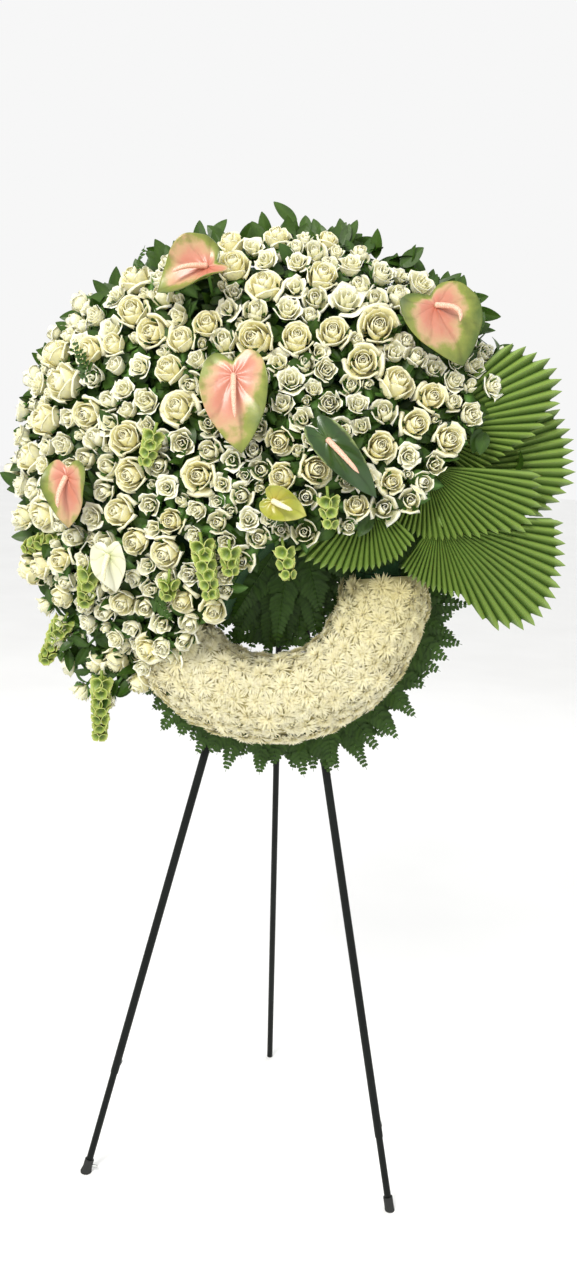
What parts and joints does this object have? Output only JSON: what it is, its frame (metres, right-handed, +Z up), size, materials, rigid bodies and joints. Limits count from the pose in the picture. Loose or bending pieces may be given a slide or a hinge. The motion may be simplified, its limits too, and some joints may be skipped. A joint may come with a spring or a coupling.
{
  "type": "funeral wreath on easel",
  "caption": "Standing funeral wreath: white rose mound over a chrysanthemum foam ring, with anthuriums, fan palms and ferns, on a folding three-legged steel easel.",
  "frame": {"origin": "middle of the base of the bounding box, on the floor", "axes": "+Z up; the flowers face -Y; +X is to the right as seen from the front"},
  "size_m": [0.9508, 0.5316, 1.6756],
  "materials": {
    "black_enamel": "semi-gloss black enamel on steel tube, lightly worn",
    "zinc_steel": "zinc-plated steel",
    "black_rubber": "matt black rubber",
    "green_wire": "dark green lacquered wire",
    "floral_foam": "wet green floral foam, matt and crumbly",
    "green_plastic": "moulded dark green plastic",
    "white_chrysanthemum": "packed spiky white petals",
    "ivory_petals": "soft translucent ivory petals, greenish at the base",
    "anthurium_pink": "waxy salmon pink spathe with green margins",
    "anthurium_white": "waxy white spathe",
    "anthurium_lime": "waxy yellow-green spathe",
    "anthurium_dark": "waxy dark green spathe back",
    "palm_leaf": "pleated satin green palm leaf",
    "bells_of_ireland": "soft lime green calyces",
    "leatherleaf_fern": "dark green leathery fern",
    "ruscus_leaf": "dark green satin leaves"
  },
  "bodies": {
    "stand": {"anthurium_dark_green": "anthurium_dark", "anthurium_pink_centre": "anthurium_pink", "anthurium_pink_right": "anthurium_pink", "anthurium_pink_top": "anthurium_pink", "anthurium_salmon_left": "anthurium_pink", "anthurium_white": "anthurium_white", "anthurium_yellow_green": "anthurium_lime", "bells_among_roses": "bells_of_ireland", "bells_hanging": "bells_of_ireland", "bells_hole_top": "bells_of_ireland", "bells_left": "bells_of_ireland", "bells_left_low": "bells_of_ireland", "bells_over_hole": "bells_of_ireland", "binding_wire": "green_wire", "blooms_heart_left": "ivory_petals", "blooms_heart_low": "ivory_petals", "blooms_heart_right": "ivory_petals", "blooms_heart_upper": "ivory_petals", "blooms_left": "ivory_petals", "blooms_left_top": "ivory_petals", "blooms_lower_left": "ivory_petals", "blooms_right": "ivory_petals", "blooms_upper_left": "ivory_petals", "blooms_upper_right": "ivory_petals", "chrysanthemum_crescent": "white_chrysanthemum", "easel_head_bracket": "black_enamel", "easel_hinge_pin": "zinc_steel", "easel_left_clamp_screw": "zinc_steel", "easel_left_hook": "black_enamel", "easel_left_leg_bolt": "zinc_steel", "easel_left_upper_tube": "black_enamel", "easel_right_clamp_screw": "zinc_steel", "easel_right_hook": "black_enamel", "easel_right_leg_bolt": "zinc_steel", "easel_right_upper_tube": "black_enamel", "fern_collar": "leatherleaf_fern", "fern_in_hole": "leatherleaf_fern", "mound_foam": "floral_foam", "palm_back": "palm_leaf", "palm_lower": "palm_leaf", "palm_middle": "palm_leaf", "palm_small": "palm_leaf", "palm_upper": "palm_leaf", "ring_foam": "floral_foam", "ring_tray": "green_plastic", "ruscus_left": "ruscus_leaf", "ruscus_top": "ruscus_leaf", "ruscus_top_left": "ruscus_leaf", "ruscus_upper_left": "ruscus_leaf", "ruscus_upper_right": "ruscus_leaf", "wire_frame": "green_wire"},
    "rear_leg": {"easel_rear_leg": "black_enamel"},
    "left_lower_leg": {"easel_left_foot": "black_rubber", "easel_left_foot_screw": "zinc_steel", "easel_left_lower_tube": "black_enamel"},
    "right_lower_leg": {"easel_right_foot": "black_rubber", "easel_right_lower_tube": "black_enamel"}
  },
  "joints": [
    {"name": "rear_leg_fold", "type": "hinge", "parent": "stand", "child": "rear_leg", "pos_m": [-0.01343, 0.03658, 1.10182], "axis": [1, 0, 0], "range_deg": [-19, 0]},
    {"name": "left_leg_slide", "type": "slide", "parent": "stand", "child": "left_lower_leg", "axis": [0.212, 0.1492, 0.9658], "range_m": [-0.17, 0.155]},
    {"name": "right_leg_slide", "type": "slide", "parent": "stand", "child": "right_lower_leg", "axis": [-0.212, 0.1492, 0.9658], "range_m": [-0.17, 0.095]}
  ]
}
